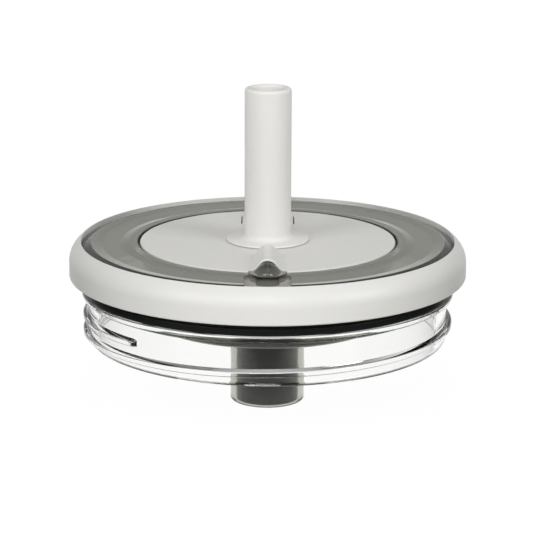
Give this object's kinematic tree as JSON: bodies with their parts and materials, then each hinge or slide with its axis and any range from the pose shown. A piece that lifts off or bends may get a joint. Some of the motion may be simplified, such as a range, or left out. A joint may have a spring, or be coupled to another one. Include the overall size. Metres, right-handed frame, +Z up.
{
  "type": "tumbler lid",
  "caption": "Round screw-in drinks lid with a tall drinking spout on a twist dial, a smoke-tinted deck, a clear threaded collar and a straw port below.",
  "frame": {"origin": "centre of the straw port's lower end, on the lid's axis, where the lid stands when it is set down", "axes": "+Z up along the lid's axis, out of the spout; -Y towards the dial's thumb hump at rest; +X to the right of it"},
  "size_m": [0.1, 0.1, 0.0805],
  "materials": {
    "white_plastic": "satin off-white",
    "spout_plastic": "fine satin off-white",
    "smoke_plastic": "polished, smoke-tinted and see-through",
    "clear_plastic": "polished, water-clear",
    "black_silicone": "smooth, slightly glossy",
    "grey_silicone": "smooth, slightly glossy"
  },
  "bodies": {
    "lid_body": {"smoke_body": "smoke_plastic", "rim_ring": "white_plastic", "threaded_collar": "clear_plastic", "rim_gasket": "black_silicone", "straw_sleeve": "grey_silicone", "valve_seal": "grey_silicone"},
    "dial": {"dial_disc": "white_plastic", "dial_core": "smoke_plastic", "dial_seal": "grey_silicone", "vent_plug": "white_plastic", "spout": "spout_plastic", "spout_seal": "grey_silicone"}
  },
  "joints": [
    {"name": "dial_turn", "type": "hinge", "parent": "lid_body", "child": "dial", "pos_m": [0, 0, 0.0416], "axis": [0, 0, 1], "range_deg": [0, 90]}
  ]
}
